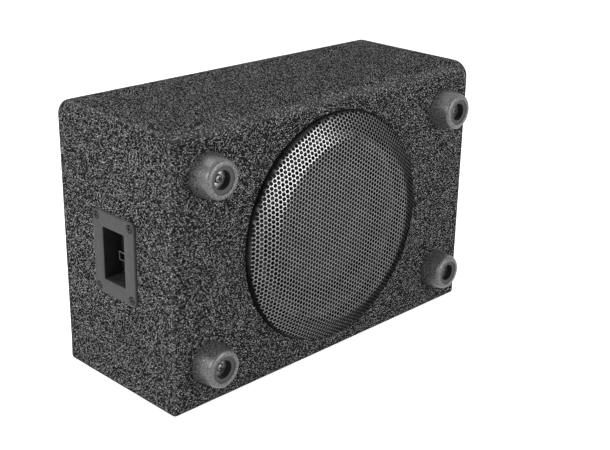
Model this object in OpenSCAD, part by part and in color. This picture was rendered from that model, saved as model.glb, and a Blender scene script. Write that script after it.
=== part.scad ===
// Powered car subwoofer: a felt-covered box with one driver behind a perforated steel grille,
// four rubber feet round the grille, and an amplifier that slides in at the left end behind a
// recessed terminal cup. It stands on its long side, with the grille facing -Y and the cup -X.
// The origin is the middle of the face that it stands on.

/* [Cabinet] */
// Length of the box, over the felt
box_l = 440; // [420:1:560]
// Depth of the box from front to back, over the felt
box_d = 177; // [172:1:260]
// Height of the box, over the felt
box_h = 290; // [284:1:400]
// Thickness of the boards
board_t = 16; // [15.5:0.5:20]
// Thickness of the felt covering
felt_t = 2.5; // [1.5:0.1:3.5]
// Radius of the two long edges along the top, over the felt
long_edge_r = 18; // [8:0.5:18]
// Radius of the two upper end edges, over the felt
end_edge_r = 7; // [4.5:0.5:12]
// Radius of the four upright edges, over the felt
upright_edge_r = 5; // [4.5:0.5:12]
// Radius of the edges along the base, over the felt
base_edge_r = 4; // [4:0.5:8]

/* [Driver] */
// Outer radius of the driver's flange
frame_r = 104; // [98:0.5:108]
// Thickness of the pressed steel of the driver's basket
basket_t = 2; // [1.5:0.1:2.5]
// Thickness of the foam gasket under the flange
gasket_t = 1.5; // [1:0.1:2.5]
// Thickness of the trim ring that clamps the surround
trim_t = 1.2; // [0.8:0.1:2]
// Width of the driver's flange outside the half roll of the surround
frame_rim_w = 16; // [15:0.5:18]
// Width of the half roll of the surround
roll_w = 14; // [10:0.5:16]
// Height of the half roll of the surround
roll_h = 7; // [5:0.5:9]
// Thickness of the rubber of the surround
surround_t = 0.8; // [0.6:0.1:1.2]
// Depth of the cone from its lip to its neck
cone_depth = 28; // [24:0.5:30]
// Thickness of the cone
cone_t = 1.2; // [0.8:0.1:1.6]
// Outer radius of the voice coil's former
former_r = 19; // [17:0.5:21]
// Radius of the dust cap
cap_r = 30; // [26:0.5:34]
// Radius of the magnet ring
magnet_r = 55; // [52:0.5:62]
// Thickness of the magnet ring
magnet_t = 16; // [14:0.5:22]
// Thickness of the steel plates of the magnet system
plate_t = 6; // [5:0.5:8]
// Number of screws that hold the driver
driver_screw_count = 8; // [6:1:8]

/* [Grille] */
// Width of the ring that the grille clips to
ring_w = 14; // [12:0.5:16]
// Height of the grille above the felt
grille_h = 18; // [16:0.5:20]
// Thickness of the grille's steel sheet
grille_t = 1; // [0.8:0.1:1.5]
// Radius of the flat middle of the grille, inside its shoulder
grille_top_r = 99; // [90:0.5:106]
// Spacing of the grille's holes
hole_pitch = 10.6; // [10.2:0.1:16]
// Diameter of the grille's holes
hole_d = 8; // [5:0.1:8.4]
// Thickness of the ring that the grille clips to
ring_t = 3.5; // [3:0.1:4.5]
// Number of clips on that ring
clip_count = 6; // [4:1:8]

/* [Feet] */
// Radius of a foot where it meets the felt
foot_base_r = 22.5; // [21:0.5:25]
// Radius of a foot near its tip
foot_tip_r = 19.3; // [18.5:0.1:20.5]
// Height of a foot
foot_h = 24; // [21:0.5:28]
// Radius of the bore that hides the screw
foot_bore_r = 9.5; // [9:0.1:11]
// Thickness of rubber under the screw
foot_floor_t = 14; // [11:0.5:16]
// Distance of a foot's centre from the end of the box
foot_inset_x = 45; // [42:0.5:60]
// Distance of a foot's centre from the top and the base
foot_inset_z = 47; // [42:0.5:52]

/* [Terminal cup] */
// Width of the cup's flange, from front to back
flange_w = 66; // [64:0.5:74]
// Height of the cup's flange
flange_h = 88; // [86:0.5:96]
// Thickness of the cup's flange
flange_t = 3; // [2.5:0.1:4]
// Width of the cup's mouth
mouth_w = 34; // [32:0.5:38]
// Height of the cup's mouth
mouth_h = 56; // [54:0.5:60]
// Depth of the cup from the flange to its control panel
cup_depth = 22.5; // [20:0.5:26]
// Thickness of the cup's walls
cup_wall_t = 2.2; // [1.8:0.1:3]
// Distance of the cup's middle in front of the middle of the box
cup_shift_y = 3; // [0:0.5:6]
// Height of the cup's middle above the middle of the box
cup_shift_z = 1; // [0:0.5:6]

/* [Controls] */
// Width of the harness socket
socket_w = 24; // [22:0.5:25]
// Height of the harness socket
socket_h = 10; // [9:0.5:10]
// How far the harness socket stands out of the control panel
socket_out = 8; // [7:0.5:9]
// Radius of the two control knobs
knob_r = 4; // [3.5:0.1:4.5]
// How far the knobs stand out of the control panel
knob_out = 5; // [4:0.5:7]
// Travel of the phase switch
switch_travel = 4; // [3:0.1:5]

/* [Amplifier] */
// Length of the amplifier's case
case_l = 108; // [100:1:112]
// Wall of the amplifier's case
case_t = 2; // [1.6:0.1:2.2]

/* [Hidden] */
$fn = 64;
fit = 0.1;       // clearance of a fixed fit
run = 0.3;       // clearance of a moving fit
slide_fit = 0.2; // clearance of a board or lid that slides in
over = 1;        // how far a cut runs past a face
flat_sides = 8;  // flats along a quarter of a rounded edge

// Levels along the driver's axis: height in front of the baffle's face
baffle_y = -box_d / 2 + felt_t;
axis_z = box_h / 2;
rabbet_depth = gasket_t + basket_t + surround_t + trim_t;
flange_low = -rabbet_depth + gasket_t;
flange_top = flange_low + basket_t;
rim_drop = 4;
lip_top = flange_top - rim_drop;
neck_top = lip_top - cone_depth;

// Radii of the driver
roll_outer_r = frame_r - frame_rim_w;
basket_gap = 1;
cutout_gap = 1.5;
trim_gap = 2;
trim_inset = 8;
screw_inset = 4;
basket_in_r = roll_outer_r + basket_gap;
cutout_r = basket_in_r + basket_t + cutout_gap;
trim_out_r = frame_r - trim_inset;
trim_in_r = roll_outer_r + trim_gap;
screw_ring_r = frame_r - screw_inset;
roll_inner_r = roll_outer_r - roll_w;
lip_w = 6;
lip_in_r = roll_inner_r - lip_w;
neck_w = 2;
former_t = 0.4;
winding_t = 1;
coil_gap = 0.6;
coil_r = former_r + winding_t;
gap_r = coil_r + coil_gap;
pole_r = former_r - former_t - coil_gap;
vent_r = 6;
magnet_lap = 5;
plate_r = magnet_r - magnet_lap;
throat_r = gap_r + 3;

// The basket steps in to a shelf for the spider, then down to the magnet system
shelf_w = 8;
shelf_inset = 4;
shelf_in_r = plate_r - shelf_inset;
shelf_out_r = shelf_in_r + shelf_w;
neck_drop = 6;
spider_room = 12;
shelf_top = neck_top - neck_drop;
plate_top = shelf_top - spider_room;
coil_overhang = 6;
coil_top = plate_top + coil_overhang;
coil_bottom = plate_top - plate_t - coil_overhang;
window_count = 6;
window_angle = 36;

// Wood screws for the driver, the grille ring, the cup and the feet
driver_head = 3.4;
driver_shank = 1.9;
ring_head = 3.2;
ring_shank = 1.6;
cup_head = 3.9;
cup_shank = 1.9;
foot_head = 4.6;
foot_shank = 2.4;
case_head = 2.6;
case_shank = 1.4;
bite = 10; // how far a screw reaches into wood
head_ratio = 0.62; // height of a pan head for its radius

// The grille and its ring
ring_gap = 4;
grille_lap = 5;
ring_in_r = frame_r + ring_gap;
ring_out_r = ring_in_r + ring_w;
grille_r = ring_out_r + grille_lap;
ring_screw_r = (ring_in_r + ring_out_r) / 2;
felt_gap = 1;
felt_hole_r = ring_out_r + felt_gap;
rim_w = 2;
rim_step = 1;
wall_h = 6;
wall_r = grille_r - rim_step;
shoulder_tilt = atan((grille_h - wall_h) / (wall_r - grille_top_r));
shoulder_round = 4;
hole_margin = 1;
perforated_r = grille_top_r - shoulder_round - hole_d / 2 - hole_margin;
clip_w = 6;
clip_root = 2;

// The feet
foot_shoulder_r = 3;
foot_lip_h = 4;
foot_lip_taper = 0.4;
foot_lip_chamfer = 1;
bore_chamfer = 0.8;
foot_ring_r = 14;
foot_ring_drop = 1.2;
washer_t = 1.2;

// The cup, its panel and what stands behind the panel, as heights outside the left end
cup_y = -cup_shift_y;
cup_z = box_h / 2 + cup_shift_z;
panel_t = 2.5;
panel_out = flange_t - cup_depth;
panel_in = panel_out - panel_t;
control_gap = 6;
circuit_t = 1.6;
control_top = panel_in - control_gap;
corner_r = 5;
cup_screw_inset = 6.3;
head_pocket = 1.8;
seal_w = 4;
body_h = mouth_h + 2 * cup_wall_t;
body_w = mouth_w + 2 * cup_wall_t;
hole_room = 0.5;
case_h = mouth_h + 2 * case_t;
case_w = mouth_w + 2 * case_t;
case_end = panel_in - case_l;
boss_r = 3;
boss_l = 14;
boss_x = mouth_h / 2 - boss_r - 0.2;
boss_y = mouth_w / 2 - boss_r - 0.2;

// The controls on the panel: up the panel, then towards the back
socket_at = [-5.4, 0.5];
level_at = [20, 6];
crossover_at = [20, -6];
switch_at = [5, -11];
shaft_r = 2.4;
pot_side = 9;
switch_w = 3;
switch_l = 4;
switch_out = 3;
switch_foot = 2;
switch_case = [14, 8];
socket_wall = 1.8;
socket_floor = 4;
contact_side = 0.9;
contact_l = 6;
contact_rows = 2;
contact_columns = 5;

// The amplifier's circuit board and its larger parts
board_at = 8;
board_end_gap = 8;
can_r = 8;
can_l = 20;
can_pitch = 18;
can_gap = 12;
coil_form_r = 8.5;
coil_wire_r = 3.2;
coil_spread = 13;
transistor = [15, 4.5, 10];
transistor_shift = 8;

// The tag board on the basket's side
tag_seat = shelf_in_r + basket_t + fit;
tag_t = 2;
tag_w = 20;
tag_h = 8;
tag_low = plate_top + 1;
tab_l = 10;
tab_h = 6;
tab_step = 1;
tab_tip = tag_seat + tag_t + tab_l;

// The two leads from the amplifier's end to the tags: points on their way, as shares of the
// distance along the box and of the distance towards the baffle
lead_r = 1.25;
lead_sides = 8;
lead_spread = 4;
lead_start = [-box_l / 2 - case_end, cup_y];
lead_end = [-tab_tip - run, baffle_y - tag_low - tab_step - tab_h / 2];
lead_shares = [
    [0, 0], [0.2, 0], [0.36, 0.06], [0.47, 0.18], [0.53, 0.34], [0.56, 0.5],
    [0.6, 0.66], [0.65, 0.8], [0.74, 0.91], [0.86, 0.98], [1, 1]
];
lead_route = [for (share = lead_shares)
    [mix(lead_start[0], lead_end[0], share[0]), mix(lead_start[1], lead_end[1], share[1]), 0]];

// Points along an arc
function arc(x, y, r, from, to, n = flat_sides) =
    [for (i = [0:n]) let (a = from + (to - from) * i / n) [x + r * cos(a), y + r * sin(a)]];

function mix(a, b, t) = a + (b - a) * t;

// Height of the cone's front surface at a radius
function cone_top(r) = mix(neck_top, lip_top, (r - former_r - neck_w) / (lip_in_r - former_r - neck_w));

// A rectangle with two radii, standing on the X axis
module upright_outline(w, h, low_r, high_r) {
    polygon(concat(
        arc(w / 2 - high_r, h - high_r, high_r, 0, 90),
        arc(-w / 2 + high_r, h - high_r, high_r, 90, 180),
        arc(-w / 2 + low_r, low_r, low_r, 180, 270),
        arc(w / 2 - low_r, low_r, low_r, 270, 360)
    ));
}

module round_rectangle(w, h, r) {
    translate([0, -h / 2]) upright_outline(w, h, r, r);
}

// The box with its rounded edges, drawn in by an even margin
module box_blank(margin) {
    l = box_l - 2 * margin;
    d = box_d - 2 * margin;
    h = box_h - 2 * margin;
    base_r = base_edge_r - margin;
    translate([0, 0, margin]) intersection() {
        rotate([90, 0, 90]) linear_extrude(l, center = true)
            upright_outline(d, h, base_r, long_edge_r - margin);
        rotate([90, 0, 0]) linear_extrude(d, center = true)
            upright_outline(l, h, base_r, end_edge_r - margin);
        linear_extrude(h) round_rectangle(l, d, upright_edge_r - margin);
    }
}

// A block given by its two corners
module block(low, high) {
    translate(low) cube(high - low);
}

// What is drawn along +Z stands out of the baffle, on the driver's axis
module on_driver() {
    translate([0, baffle_y, axis_z]) rotate([90, 0, 0]) children();
}

// What is drawn along +Z stands out of the left end, with X up and Y to the back
module on_cup() {
    translate([-box_l / 2, cup_y, cup_z]) rotate([0, -90, 0]) children();
}

module at_feet() {
    for (side = [-1, 1], z = [foot_inset_z, box_h - foot_inset_z])
        translate([side * (box_l / 2 - foot_inset_x), -box_d / 2, z]) rotate([90, 0, 0]) children();
}

module at_driver_screws() {
    for (i = [0:driver_screw_count - 1])
        on_driver() rotate((i + 0.5) * 360 / driver_screw_count) translate([screw_ring_r, 0]) children();
}

module at_ring_screws() {
    for (i = [0:clip_count - 1])
        on_driver() rotate(i * 360 / clip_count) translate([ring_screw_r, 0]) children();
}

module at_cup_corners(inset) {
    for (x = [-1, 1], y = [-1, 1])
        on_cup() translate([x * (flange_h / 2 - inset), y * (flange_w / 2 - inset)]) children();
}

module at_bosses() {
    for (x = [-1, 1], y = [-1, 1]) on_cup() translate([x * boss_x, y * boss_y]) children();
}

module tube(outer, inner, low, high) {
    translate([0, 0, low]) difference() {
        cylinder(h = high - low, r = outer);
        translate([0, 0, -over]) cylinder(h = high - low + 2 * over, r = inner);
    }
}

// A pan-head screw whose head sits on the plane z = 0
module pan_screw(head, shank, length) {
    head_h = head * head_ratio;
    slot = head * 0.28;
    rotate_extrude() polygon(concat(
        [[0, -length], [shank * 0.4, -length], [shank, -length + 2 * shank], [shank, 0], [head, 0]],
        arc(head - head_h * 0.6, head_h * 0.4, head_h * 0.6, 0, 90, 4),
        [[head * 0.55, head_h], [slot, head_h * 0.4], [0, head_h * 0.4]]
    ));
}

module pilot(shank, length) {
    translate([0, 0, -length - fit]) cylinder(h = length + fit + over, r = shank + fit);
}

// Felt covering

module felt_wrap() {
    color([0.17, 0.17, 0.17]) difference() {
        intersection() {
            box_blank(0);
            block([-box_l / 2 + felt_t, -box_d, -over], [box_l / 2 - felt_t, box_d, box_h + over]);
        }
        box_blank(felt_t);
        on_driver() translate([0, 0, -over]) cylinder(h = felt_t + 2 * over, r = felt_hole_r);
        at_feet() pilot(foot_shank, felt_t + over);
    }
}

module felt_end(side) {
    color([0.17, 0.17, 0.17]) intersection() {
        box_blank(0);
        translate([side * (box_l - felt_t) / 2, 0, box_h / 2]) cube([felt_t, box_d, box_h], center = true);
    }
}

module felt_left_end() {
    color([0.17, 0.17, 0.17]) difference() {
        felt_end(-1);
        cup_opening(seal_w + fit);
        at_cup_corners(cup_screw_inset) pilot(cup_shank, felt_t + over);
    }
}

module felt_right_end() {
    felt_end(1);
}

// Boards

// Cuts the cup's body out of the left end, with room round it
module cup_opening(room) {
    depth = felt_t + board_t + over;
    on_cup() translate([0, 0, -depth]) linear_extrude(depth + over)
        square([body_h + 2 * room, body_w + 2 * room], center = true);
}

module board_between(low, high) {
    color([0.62, 0.5, 0.36]) intersection() {
        box_blank(felt_t);
        block(low, high);
    }
}

wood_x = box_l / 2 - felt_t;
wood_y = box_d / 2 - felt_t;
wood_top = box_h - felt_t;
inner_x = wood_x - board_t;
inner_y = wood_y - board_t;
inner_low = felt_t + board_t;
inner_high = wood_top - board_t;

module top_panel() {
    board_between([-wood_x, -wood_y, inner_high], [wood_x, wood_y, wood_top]);
}

module bottom_panel() {
    board_between([-wood_x, -wood_y, felt_t], [wood_x, wood_y, inner_low]);
}

module left_panel() {
    color([0.62, 0.5, 0.36]) difference() {
        board_between([-wood_x, -wood_y, inner_low], [-inner_x, wood_y, inner_high]);
        cup_opening(hole_room);
        at_cup_corners(cup_screw_inset) pilot(cup_shank, felt_t + bite);
    }
}

module right_panel() {
    board_between([inner_x, -wood_y, inner_low], [wood_x, wood_y, inner_high]);
}

module back_panel() {
    board_between([-inner_x, inner_y, inner_low], [inner_x, wood_y, inner_high]);
}

module front_baffle() {
    color([0.62, 0.5, 0.36]) difference() {
        board_between([-inner_x, -wood_y, inner_low], [inner_x, -inner_y, inner_high]);
        on_driver() translate([0, 0, -board_t - over]) cylinder(h = board_t + 2 * over, r = cutout_r);
        on_driver() translate([0, 0, -rabbet_depth])
            cylinder(h = rabbet_depth + over, r = frame_r + hole_room);
        at_driver_screws() pilot(driver_shank, rabbet_depth + bite - basket_t);
        at_ring_screws() pilot(ring_shank, bite);
        at_feet() pilot(foot_shank, felt_t + bite);
    }
}

// Grille

// A corner between two others, rounded from a distance before it to as far behind it
function rounded(before, corner, after, reach) =
    let (
        start = corner + reach * (before - corner) / norm(before - corner),
        end = corner + reach * (after - corner) / norm(after - corner)
    )
    [for (i = [0:4]) let (t = i / 4) mix(mix(start, corner, t), mix(corner, end, t), t)];

// The grille's profile from its wall over the sloping shoulder to its flat middle, drawn in by a margin
function grille_skin(margin) =
    let (
        foot = [wall_r - margin, grille_t],
        low = [wall_r - margin, wall_h - margin * (1 - sin(shoulder_tilt)) / cos(shoulder_tilt)],
        high = [grille_top_r - margin * tan(shoulder_tilt / 2), grille_h - margin],
        middle = [0, grille_h - margin]
    )
    concat(rounded(foot, low, high, shoulder_round), rounded(low, high, middle, shoulder_round), [middle]);

function reverse(list) = [for (i = [len(list) - 1:-1:0]) list[i]];

module grille_shell() {
    skin = grille_skin(0);
    lining = reverse(grille_skin(grille_t));
    rotate_extrude($fn = 128) polygon(concat(
        [[wall_r - rim_w, 0], [grille_r, 0], [grille_r, grille_t], [wall_r, grille_t]],
        skin, lining,
        [[wall_r - grille_t, grille_t], [wall_r - rim_w, grille_t]]
    ));
}

module grille() {
    row = hole_pitch * sqrt(3) / 2;
    reach = ceil(perforated_r / row);
    color([0.07, 0.07, 0.07]) on_driver() translate([0, 0, felt_t]) difference() {
        grille_shell();
        for (j = [-reach:reach], i = [-reach:reach])
            let (x = (i + (abs(j) % 2) / 2) * hole_pitch, y = j * row)
                if (norm([x, y]) < perforated_r)
                    translate([x, y, wall_h]) cylinder(h = grille_h, d = hole_d, $fn = 32);
    }
}

module grille_ring() {
    color([0.1, 0.1, 0.1]) difference() {
        union() {
            on_driver() tube(ring_out_r, ring_in_r, 0, ring_t);
            for (i = [0:clip_count - 1]) on_driver() rotate((i + 0.5) * 360 / clip_count)
                translate([ring_out_r - clip_root, -clip_w / 2, felt_t + run])
                    cube([wall_r - rim_w - run - ring_out_r + clip_root, clip_w, ring_t - felt_t - run - fit]);
        }
        at_ring_screws() translate([0, 0, -over]) cylinder(h = ring_t + 2 * over, r = ring_shank + fit);
    }
}

module grille_ring_screws() {
    color("dimgray") at_ring_screws() translate([0, 0, ring_t])
        pan_screw(ring_head, ring_shank, ring_t + bite);
}

// Driver

module driver_basket() {
    outline = [
        [frame_r, flange_low], [frame_r, flange_top], [basket_in_r, flange_top],
        [basket_in_r, flange_low], [shelf_out_r, shelf_top], [shelf_in_r, shelf_top],
        [shelf_in_r, plate_top + basket_t], [throat_r, plate_top + basket_t], [throat_r, plate_top],
        [shelf_in_r + basket_t, plate_top], [shelf_in_r + basket_t, shelf_top - basket_t],
        [shelf_out_r + basket_t, shelf_top - basket_t], [basket_in_r + basket_t, flange_low]
    ];
    window_in = shelf_out_r + 2 * basket_t;
    window_out = basket_in_r - 3 * basket_t;
    color([0.12, 0.12, 0.13]) difference() {
        on_driver() rotate_extrude($fn = 128) polygon(outline);
        for (i = [0:window_count - 1]) on_driver() rotate((i + 0.5) * 360 / window_count)
            translate([0, 0, shelf_top]) linear_extrude(flange_low - shelf_top) polygon(concat(
                arc(0, 0, window_in, -window_angle / 2, window_angle / 2),
                arc(0, 0, window_out, window_angle / 2, -window_angle / 2)
            ));
        at_driver_screws() translate([0, 0, flange_low - over])
            cylinder(h = basket_t + 2 * over, r = driver_shank + fit);
    }
}

module driver_gasket() {
    color([0.05, 0.05, 0.05]) difference() {
        on_driver() tube(frame_r, cutout_r + hole_room, -rabbet_depth, flange_low);
        at_driver_screws() translate([0, 0, -rabbet_depth - over])
            cylinder(h = gasket_t + 2 * over, r = driver_shank + fit);
    }
}

module driver_screws() {
    color("dimgray") at_driver_screws() translate([0, 0, flange_top])
        pan_screw(driver_head, driver_shank, gasket_t + bite);
}

module surround_trim_ring() {
    color([0.09, 0.09, 0.09]) on_driver() tube(trim_out_r, trim_in_r, flange_top + surround_t, 0);
}

module surround() {
    middle = roll_outer_r - roll_w / 2;
    steps = 12;
    roll = function (half, rise) [for (i = [0:steps]) let (a = 180 * i / steps)
        [middle + half * cos(a), mix(flange_top, lip_top, i / steps) + rise + roll_h * sin(a)]];
    color([0.08, 0.08, 0.08]) on_driver() rotate_extrude($fn = 128) polygon(concat(
        [[trim_out_r, flange_top], [trim_out_r, flange_top + surround_t]],
        roll(roll_w / 2 + surround_t / 2, surround_t),
        [[lip_in_r, lip_top + surround_t], [lip_in_r, lip_top]],
        reverse(roll(roll_w / 2 - surround_t / 2, 0))
    ));
}

module cone() {
    neck_r = former_r + fit;
    neck_glue = 3;
    color([0.1, 0.1, 0.11]) on_driver() rotate_extrude($fn = 128) polygon([
        [roll_inner_r - surround_t, lip_top], [lip_in_r, lip_top], [former_r + neck_w, neck_top],
        [neck_r, neck_top], [neck_r, neck_top - neck_glue], [former_r + neck_w, neck_top - cone_t],
        [lip_in_r, lip_top - cone_t], [roll_inner_r - surround_t, lip_top - cone_t]
    ]);
}

module dust_cap() {
    rise = 9;
    ball_r = (cap_r * cap_r + rise * rise) / (2 * rise);
    low = cone_top(cap_r) + fit;
    ball_z = low + rise - ball_r;
    edge = acos((low - ball_z) / ball_r);
    skin = [for (i = [0:8]) let (a = edge * (1 - i / 8)) [ball_r * sin(a), ball_z + ball_r * cos(a)]];
    color([0.09, 0.09, 0.1]) on_driver() rotate_extrude() polygon(concat(
        skin,
        [for (i = [8:-1:0]) [skin[i][0], skin[i][1] + cone_t]]
    ));
}

module voice_coil_former() {
    color([0.75, 0.65, 0.4]) on_driver() tube(former_r, former_r - former_t, coil_bottom, neck_top);
}

module voice_coil() {
    color([0.7, 0.4, 0.2]) on_driver() tube(coil_r, former_r + fit / 2, coil_bottom, coil_top);
}

module spider() {
    waves = 5;
    steps = 40;
    inner = former_r + fit;
    inner_flat = 4;
    outer_flat = 1;
    wave_in = inner + inner_flat;
    wave_out = shelf_in_r - outer_flat;
    wave_h = 1.4;
    spider_t = 0.7;
    ripple = [for (i = [0:steps])
        [mix(wave_in, wave_out, i / steps), shelf_top + wave_h * sin(360 * waves * i / steps)]];
    color([0.78, 0.66, 0.32]) on_driver() rotate_extrude($fn = 128) polygon(concat(
        [[inner, shelf_top + spider_t], [inner, shelf_top]],
        ripple,
        [[shelf_out_r - outer_flat, shelf_top], [shelf_out_r - outer_flat, shelf_top + spider_t]],
        reverse([for (p = ripple) p + [0, spider_t]])
    ));
}

module top_plate() {
    color([0.5, 0.5, 0.52]) on_driver() tube(plate_r, gap_r, plate_top - plate_t, plate_top);
}

module magnet() {
    color([0.2, 0.2, 0.21]) on_driver()
        tube(magnet_r, gap_r + magnet_lap, plate_top - plate_t - magnet_t, plate_top - plate_t);
}

module pole_yoke() {
    yoke_top = plate_top - plate_t - magnet_t;
    color([0.5, 0.5, 0.52]) on_driver() difference() {
        union() {
            translate([0, 0, yoke_top - plate_t]) cylinder(h = plate_t, r = plate_r);
            translate([0, 0, yoke_top - over]) cylinder(h = plate_top - yoke_top + over, r = pole_r);
        }
        translate([0, 0, yoke_top - plate_t - over])
            cylinder(h = magnet_t + 2 * plate_t + 2 * over, r = vent_r);
    }
}

// A tag board on the basket's side, with one tab for each lead

module driver_terminals() {
    tab_t = 0.8;
    color([0.55, 0.42, 0.2]) on_driver() {
        block([-tag_seat - tag_t, -tag_w / 2, tag_low], [-tag_seat, tag_w / 2, tag_low + tag_h]);
        for (side = [-1, 1]) translate([-tab_tip, side * lead_spread - tab_t / 2, tag_low + tab_step])
            cube([tab_l + over, tab_t, tab_h]);
    }
}

// Feet

module foot(side, z) {
    tip_z = foot_h - foot_shoulder_r;
    color([0.16, 0.16, 0.16]) translate([side * (box_l / 2 - foot_inset_x), -box_d / 2, z])
        rotate([90, 0, 0]) rotate_extrude($fn = 96) polygon(concat(
            [
                [foot_shank + fit, 0], [foot_base_r - foot_lip_chamfer, 0], [foot_base_r, foot_lip_chamfer],
                [foot_base_r - foot_lip_taper, foot_lip_h]
            ],
            arc(foot_tip_r - foot_shoulder_r, tip_z, foot_shoulder_r, 5, 90, 5),
            [
                [foot_ring_r, foot_h], [foot_ring_r, foot_h - foot_ring_drop],
                [foot_bore_r + bore_chamfer, foot_h - foot_ring_drop],
                [foot_bore_r, foot_h - foot_ring_drop - bore_chamfer],
                [foot_bore_r, foot_floor_t], [foot_shank + fit, foot_floor_t]
            ]
        ));
}

module foot_upper_left() {
    foot(-1, box_h - foot_inset_z);
}

module foot_upper_right() {
    foot(1, box_h - foot_inset_z);
}

module foot_lower_left() {
    foot(-1, foot_inset_z);
}

module foot_lower_right() {
    foot(1, foot_inset_z);
}

module foot_washers() {
    color("silver") at_feet()
        tube(foot_bore_r - slide_fit, foot_shank + fit, foot_floor_t, foot_floor_t + washer_t);
}

module foot_screws() {
    color("silver") at_feet() translate([0, 0, foot_floor_t + washer_t])
        pan_screw(foot_head, foot_shank, foot_floor_t + washer_t + felt_t + bite);
}

// Terminal cup

// A hole through the control panel, at a place on it
module panel_hole(at) {
    on_cup() translate([at[0], at[1], panel_in - over]) linear_extrude(panel_t + 2 * over) children();
}

module terminal_cup() {
    color([0.27, 0.27, 0.27]) difference() {
        union() {
            on_cup() linear_extrude(flange_t - 1) round_rectangle(flange_h, flange_w, corner_r);
            on_cup() linear_extrude(flange_t) round_rectangle(flange_h - 2, flange_w - 2, corner_r - 1);
            on_cup() translate([-body_h / 2, -body_w / 2, panel_in]) cube([body_h, body_w, -panel_in + over]);
        }
        on_cup() translate([-mouth_h / 2, -mouth_w / 2, panel_out])
            cube([mouth_h, mouth_w, cup_depth + over]);
        at_cup_corners(cup_screw_inset) translate([0, 0, -over])
            cylinder(h = flange_t + 2 * over, r = cup_shank + fit);
        at_cup_corners(cup_screw_inset) translate([0, 0, flange_t - head_pocket])
            cylinder(h = head_pocket + over, r = cup_head + hole_room);
        panel_hole(socket_at) square([socket_h + 2 * fit, socket_w + 2 * fit], center = true);
        panel_hole(level_at) circle(r = shaft_r + run);
        panel_hole(crossover_at) circle(r = shaft_r + run);
        panel_hole(switch_at) translate([switch_travel / 2, 0])
            square([switch_l + switch_travel + 2 * run, switch_w + 2 * run], center = true);
        at_bosses() translate([0, 0, panel_in - over]) cylinder(h = panel_t + 2 * over, r = case_shank + fit);
    }
}

// The foam seal lies under the flange, in the felt's cut-out
module cup_gasket() {
    color([0.06, 0.06, 0.06]) on_cup() translate([0, 0, -felt_t]) linear_extrude(felt_t) difference() {
        square([body_h + 2 * seal_w, body_w + 2 * seal_w], center = true);
        square([body_h + 2 * fit, body_w + 2 * fit], center = true);
    }
}

module cup_screws() {
    color([0.2, 0.2, 0.2]) at_cup_corners(cup_screw_inset) translate([0, 0, flange_t - head_pocket])
        pan_screw(cup_head, cup_shank, flange_t - head_pocket + felt_t + bite);
}

module harness_socket() {
    length = socket_out + panel_t + control_gap;
    color([0.1, 0.1, 0.1]) on_cup() translate([socket_at[0], socket_at[1], control_top]) difference() {
        translate([-socket_h / 2, -socket_w / 2]) cube([socket_h, socket_w, length]);
        translate([-socket_h / 2 + socket_wall, -socket_w / 2 + socket_wall, socket_floor])
            cube([socket_h - 2 * socket_wall, socket_w - 2 * socket_wall, length]);
    }
}

module socket_contacts() {
    pitch_x = (socket_h - 2 * socket_wall) / contact_rows;
    pitch_y = (socket_w - 2 * socket_wall) / contact_columns;
    color("gold") on_cup() for (i = [0:contact_rows - 1], j = [0:contact_columns - 1])
        translate([
            socket_at[0] + (i - (contact_rows - 1) / 2) * pitch_x - contact_side / 2,
            socket_at[1] + (j - (contact_columns - 1) / 2) * pitch_y - contact_side / 2,
            control_top + socket_floor
        ]) cube([contact_side, contact_side, contact_l]);
}

module knob(at) {
    color([0.08, 0.08, 0.08]) on_cup() translate([at[0], at[1]]) difference() {
        union() {
            translate([0, 0, panel_out + run]) cylinder(h = knob_out - run, r = knob_r);
            translate([0, 0, control_top + 1]) cylinder(h = panel_out - control_top, r = shaft_r);
        }
        translate([0, -0.5, panel_out + knob_out - 1.2]) cube([knob_r + over, 1, 2]);
    }
}

module level_knob() {
    knob(level_at);
}

module crossover_knob() {
    knob(crossover_at);
}

module potentiometer(at) {
    color([0.3, 0.45, 0.35]) on_cup() translate([at[0], at[1], control_top]) difference() {
        translate([-pot_side / 2, -pot_side / 2]) cube([pot_side, pot_side, control_gap]);
        translate([0, 0, 0.7]) cylinder(h = control_gap, r = shaft_r + run);
    }
}

module level_potentiometer() {
    potentiometer(level_at);
}

module crossover_potentiometer() {
    potentiometer(crossover_at);
}

module phase_switch_slider() {
    low = [-switch_l / 2, -switch_w / 2, panel_in - switch_foot];
    high = [switch_l / 2, switch_w / 2, panel_out + switch_out];
    color([0.85, 0.85, 0.85]) on_cup() translate([switch_at[0], switch_at[1]]) block(low, high);
}

module phase_switch_housing() {
    color([0.6, 0.6, 0.62]) on_cup() translate([switch_at[0] + switch_travel / 2, switch_at[1], control_top])
        difference() {
            translate([-switch_case[0] / 2, -switch_case[1] / 2])
                cube([switch_case[0], switch_case[1], control_gap]);
            translate([0, 0, control_gap]) cube([
                switch_l + switch_travel + 2 * run, switch_w + 2 * run, 2 * (switch_foot + run)
            ], center = true);
        }
}

module control_board() {
    color([0.1, 0.3, 0.16]) on_cup() difference() {
        translate([0, 0, control_top - circuit_t / 2])
            cube([mouth_h - 2 * slide_fit, mouth_w - 2 * slide_fit, circuit_t], center = true);
        for (x = [-1, 1], y = [-1, 1])
            translate([x * mouth_h / 2, y * mouth_w / 2, control_top])
                cube([4 * boss_r + 2 * run, 4 * boss_r + 2 * run, 4 * circuit_t], center = true);
    }
}

// Amplifier

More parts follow.
